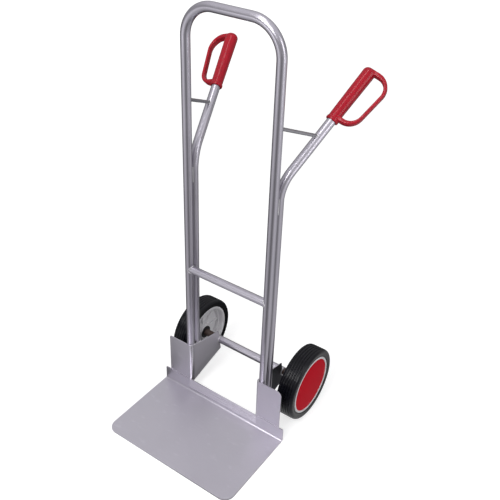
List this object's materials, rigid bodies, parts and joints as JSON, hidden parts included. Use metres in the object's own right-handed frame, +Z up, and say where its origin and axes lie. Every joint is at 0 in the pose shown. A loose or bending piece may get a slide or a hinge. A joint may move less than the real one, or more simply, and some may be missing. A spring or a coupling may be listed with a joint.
{
  "type": "hand truck",
  "caption": "Upright hand truck with a welded aluminium tube frame, splayed rear handles with guarded red grips, a folded toe plate and solid-tyred wheels spinning on an axle.",
  "frame": {"origin": "on the floor, at the middle of the overall width and of the overall depth from the toe plate's front edge to the grip ends", "axes": "+Z up along the uprights, -Y towards the toe plate's front edge, +X towards the right wheel as seen from the front"},
  "size_m": [0.4796, 0.5291, 1.096],
  "materials": {
    "tube_aluminium": "satin drawn tube",
    "sheet_aluminium": "satin rolled sheet",
    "rod_aluminium": "dull",
    "axle_steel": "turned",
    "sleeve_dark": "dark brown, satin",
    "zinc_steel": "zinc plated",
    "grip_red": "moulded",
    "cover_red": "moulded",
    "tyre_black": "solid rubber",
    "rim_pale": "moulded",
    "black_plastic": "moulded"
  },
  "bodies": {
    "frame": {"hoop_tube": "tube_aluminium", "cross_bar": "tube_aluminium", "toe_plate": "sheet_aluminium", "axle_tube": "tube_aluminium", "axle": "axle_steel", "tube_end_plugs": "black_plastic", "left_handle_tube": "tube_aluminium", "left_brace_rod": "rod_aluminium", "left_grip": "grip_red", "left_side_bracket": "sheet_aluminium", "left_spacer_sleeve": "sleeve_dark", "left_axle_washer": "zinc_steel", "left_retaining_ring": "zinc_steel", "right_handle_tube": "tube_aluminium", "right_brace_rod": "rod_aluminium", "right_grip": "grip_red", "right_side_bracket": "sheet_aluminium", "right_spacer_sleeve": "sleeve_dark", "right_axle_washer": "zinc_steel", "right_retaining_ring": "zinc_steel"},
    "left_wheel": {"left_tyre": "tyre_black", "left_rim": "rim_pale", "left_inner_bush": "black_plastic", "left_outer_bush": "black_plastic", "left_wheel_cover": "cover_red"},
    "right_wheel": {"right_tyre": "tyre_black", "right_rim": "rim_pale", "right_inner_bush": "black_plastic", "right_outer_bush": "black_plastic", "right_wheel_cover": "cover_red"}
  },
  "joints": [
    {"name": "left_wheel_spin", "type": "hinge", "parent": "frame", "child": "left_wheel", "pos_m": [-0.1775, 0.11201, 0.103], "axis": [1, 0, 0], "continuous": true},
    {"name": "right_wheel_spin", "type": "hinge", "parent": "frame", "child": "right_wheel", "pos_m": [0.1775, 0.11201, 0.103], "axis": [1, 0, 0], "continuous": true}
  ]
}
